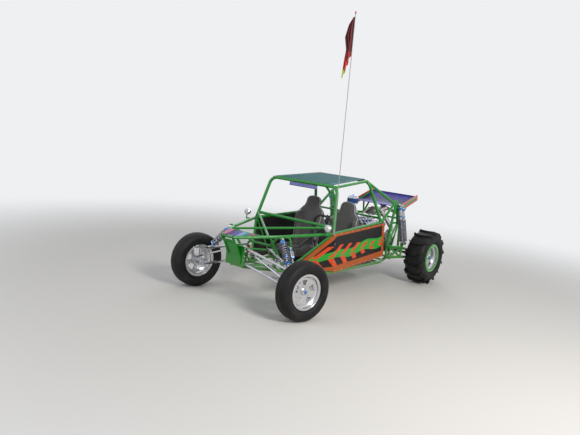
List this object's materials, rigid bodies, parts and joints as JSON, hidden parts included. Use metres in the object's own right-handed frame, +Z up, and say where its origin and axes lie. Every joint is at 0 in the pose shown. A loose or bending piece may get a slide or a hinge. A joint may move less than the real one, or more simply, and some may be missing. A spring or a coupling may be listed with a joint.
{
  "type": "dune buggy",
  "caption": "Open tube-framed dune buggy with long front arms, cupped rear sand tyres, a rear wing and a whip flag.",
  "frame": {"origin": "on the ground under the middle of the vehicle's box", "axes": "+Z up, the nose points along -Y, +X is the vehicle's left side"},
  "size_m": [2.051, 3.9227, 3.5501],
  "materials": {
    "frame_green": "gloss",
    "ring_green": "gloss",
    "panel_orange": "gloss",
    "roof_teal": "gloss",
    "nose_paint": "gloss",
    "wing_paint": "gloss",
    "wing_end_red": "gloss",
    "polished_steel": "polished",
    "polished_aluminium": "polished",
    "floor_aluminium": "brushed",
    "engine_metal": "cast",
    "black_steel": "satin",
    "tyre_rubber": "matt",
    "seat_cover": "woven",
    "grip": "grained",
    "lamp_chrome": "polished",
    "mirror_glass": "polished",
    "whip_white": "gloss",
    "flag_cloth": "woven"
  },
  "bodies": {
    "chassis": {"belt_rails": "frame_green", "lower_rails": "frame_green", "front_pickup": "frame_green", "nose_braces": "frame_green", "nose_deck": "frame_green", "floor_frame": "frame_green", "roll_cage": "frame_green", "rear_pivots": "frame_green", "rear_frame": "frame_green", "seat_rails": "black_steel", "shift_lever": "black_steel", "pedals": "black_steel", "side_panels": "panel_orange", "rear_arms": "frame_green", "exhaust_headers": "polished_steel", "bulkhead": "frame_green", "floor_pan": "floor_aluminium", "roof_panel": "roof_teal", "nose_panel": "nose_paint", "mirror": "mirror_glass", "headlamps": "lamp_chrome", "seat_driver": "seat_cover", "seat_passenger": "seat_cover", "front_upper_arms": "polished_steel", "front_lower_arms": "polished_steel", "front_shocks": "black_steel", "front_bypass_shocks": "polished_steel", "rear_shocks": "polished_steel", "rack_housing": "polished_aluminium", "steering_column": "black_steel", "engine_block": "engine_metal", "valve_covers": "polished_steel", "gearbox": "engine_metal", "intake": "polished_steel", "muffler": "polished_steel", "wing": "wing_paint", "wing_end_plates": "wing_end_red", "whip": "whip_white", "whip_flag": "flag_cloth"},
    "knuckle_left": {"knuckle_left": "polished_steel"},
    "front_wheel_left": {"front_rim_left": "polished_aluminium", "front_tyre_left": "tyre_rubber"},
    "rear_wheel_left": {"rear_rim_left": "polished_aluminium", "rear_ring_left": "ring_green", "rear_tyre_left": "tyre_rubber", "half_shaft_left": "black_steel"},
    "knuckle_right": {"knuckle_right": "polished_steel"},
    "front_wheel_right": {"front_rim_right": "polished_aluminium", "front_tyre_right": "tyre_rubber"},
    "rear_wheel_right": {"rear_rim_right": "polished_aluminium", "rear_ring_right": "ring_green", "rear_tyre_right": "tyre_rubber", "half_shaft_right": "black_steel"},
    "steering_rack": {"steering_rack": "polished_steel"},
    "steering_wheel": {"steering_wheel": "grip"}
  },
  "joints": [
    {"name": "steer_left", "type": "hinge", "parent": "chassis", "child": "knuckle_left", "pos_m": [0.788, -1.55, 0.345], "axis": [0, 0, 1], "range_deg": [-18.6, 41.4]},
    {"name": "front_spin_left", "type": "hinge", "parent": "knuckle_left", "child": "front_wheel_left", "pos_m": [0.8723, -1.567, 0.345], "axis": [0.9803, -0.1977, 0], "continuous": true},
    {"name": "rear_spin_left", "type": "hinge", "parent": "chassis", "child": "rear_wheel_left", "pos_m": [0.803, 1.577, 0.4], "axis": [1, 0, 0], "continuous": true},
    {"name": "steer_right", "type": "hinge", "parent": "chassis", "child": "knuckle_right", "pos_m": [-0.788, -1.55, 0.345], "axis": [0, 0, 1], "range_deg": [-18.7, 41.5]},
    {"name": "front_spin_right", "type": "hinge", "parent": "knuckle_right", "child": "front_wheel_right", "pos_m": [-0.8723, -1.533, 0.345], "axis": [0.9803, -0.1977, 0], "continuous": true},
    {"name": "rear_spin_right", "type": "hinge", "parent": "chassis", "child": "rear_wheel_right", "pos_m": [-0.803, 1.577, 0.4], "axis": [1, 0, 0], "continuous": true},
    {"name": "rack_slide", "type": "slide", "parent": "chassis", "child": "steering_rack", "axis": [1, 0, 0], "range_m": [-0.034, 0.072]},
    {"name": "hand_wheel_turn", "type": "hinge", "parent": "chassis", "child": "steering_wheel", "pos_m": [0.29, -0.41, 0.905], "axis": [0, 0.9135, 0.4067], "range_deg": [-150.8, 333.2]}
  ],
  "couplings": [
    {"joint": "steer_right", "follows": "steer_left", "ratio": 1},
    {"joint": "rack_slide", "follows": "steer_left", "m_per_rad": 0.0965},
    {"joint": "hand_wheel_turn", "follows": "steer_left", "ratio": 8}
  ]
}
